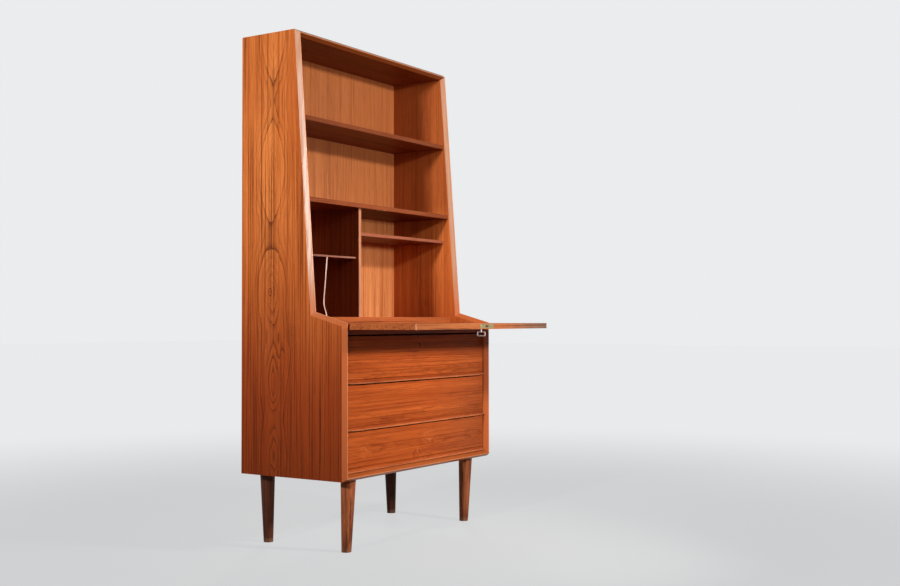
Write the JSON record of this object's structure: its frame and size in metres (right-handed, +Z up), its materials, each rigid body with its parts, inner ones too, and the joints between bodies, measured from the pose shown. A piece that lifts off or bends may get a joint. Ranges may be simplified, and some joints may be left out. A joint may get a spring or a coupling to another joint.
{
  "type": "secretary desk",
  "caption": "Tall teak secretary desk: a leaning open bookcase over a drop-flap writing surface with letter compartments, coved-lip drawers below, tapered legs",
  "frame": {"origin": "on the floor, in the middle of the footprint with the flap open", "axes": "+Z up, +X to the right seen from the front, front faces -Y, the flap drops towards -Y"},
  "size_m": [0.88, 0.6888, 1.69],
  "materials": {
    "teak_veneer": "oiled",
    "teak_front": "oiled",
    "teak_back": "oiled",
    "teak_solid": "oiled",
    "beech": "bare",
    "plywood": "bare",
    "brass": "worn",
    "steel": "plain",
    "nickel": "polished"
  },
  "bodies": {
    "case": {"left_side": "teak_veneer", "right_side": "teak_veneer", "top_panel": "teak_veneer", "bottom_panel": "teak_veneer", "back_panel": "teak_back", "deck": "teak_veneer", "front_bearer": "beech", "rear_bearer": "beech", "desk_floor": "teak_veneer", "middle_shelf": "teak_veneer", "upper_shelf": "teak_veneer", "divider": "teak_veneer", "small_shelf": "teak_veneer", "letter_shelf": "teak_veneer", "letter_divider": "teak_veneer", "leg_front_left": "teak_solid", "leg_front_right": "teak_solid", "leg_back_left": "teak_solid", "leg_back_right": "teak_solid", "leg_studs": "steel", "drawer_runners": "beech", "pivot_bushes": "brass", "strike_plate": "brass"},
    "flap": {"flap": "teak_veneer", "pivot_pins": "brass", "lock_case": "steel", "lock_faceplate": "brass"},
    "flap_bolt": {"flap_bolt": "brass"},
    "key": {"flap_key": "nickel"},
    "upper_drawer": {"upper_drawer_front": "teak_front", "upper_drawer_left_side": "beech", "upper_drawer_right_side": "beech", "upper_drawer_back": "beech", "upper_drawer_bottom": "plywood", "drawer_lock": "steel"},
    "middle_drawer": {"middle_drawer_front": "teak_front", "middle_drawer_left_side": "beech", "middle_drawer_right_side": "beech", "middle_drawer_back": "beech", "middle_drawer_bottom": "plywood"},
    "lower_drawer": {"lower_drawer_front": "teak_front", "lower_drawer_left_side": "beech", "lower_drawer_right_side": "beech", "lower_drawer_back": "beech", "lower_drawer_bottom": "plywood"},
    "drawer_bolt": {"drawer_bolt": "brass"}
  },
  "joints": [
    {"name": "flap_hinge", "type": "hinge", "parent": "case", "child": "flap", "pos_m": [0, 0.06147, 0.7225], "axis": [-1, 0, 0], "range_deg": [0, 94.2]},
    {"name": "key_turn", "type": "hinge", "parent": "flap", "child": "key", "pos_m": [0, -0.32142, 0.7225], "axis": [0, 0, 1], "range_deg": [0, 90]},
    {"name": "flap_bolt_slide", "type": "slide", "parent": "flap", "child": "flap_bolt", "axis": [0, -1, 0], "range_m": [0, 0.007]},
    {"name": "upper_drawer_slide", "type": "slide", "parent": "case", "child": "upper_drawer", "axis": [0, -1, 0], "range_m": [0, 0.21]},
    {"name": "middle_drawer_slide", "type": "slide", "parent": "case", "child": "middle_drawer", "axis": [0, -1, 0], "range_m": [0, 0.21]},
    {"name": "lower_drawer_slide", "type": "slide", "parent": "case", "child": "lower_drawer", "axis": [0, -1, 0], "range_m": [0, 0.21]},
    {"name": "drawer_bolt_slide", "type": "slide", "parent": "upper_drawer", "child": "drawer_bolt", "axis": [0, 0, 1], "range_m": [0, 0.009]}
  ],
  "couplings": [
    {"joint": "flap_bolt_slide", "follows": "key_turn", "m_per_rad": 0.0044563}
  ]
}
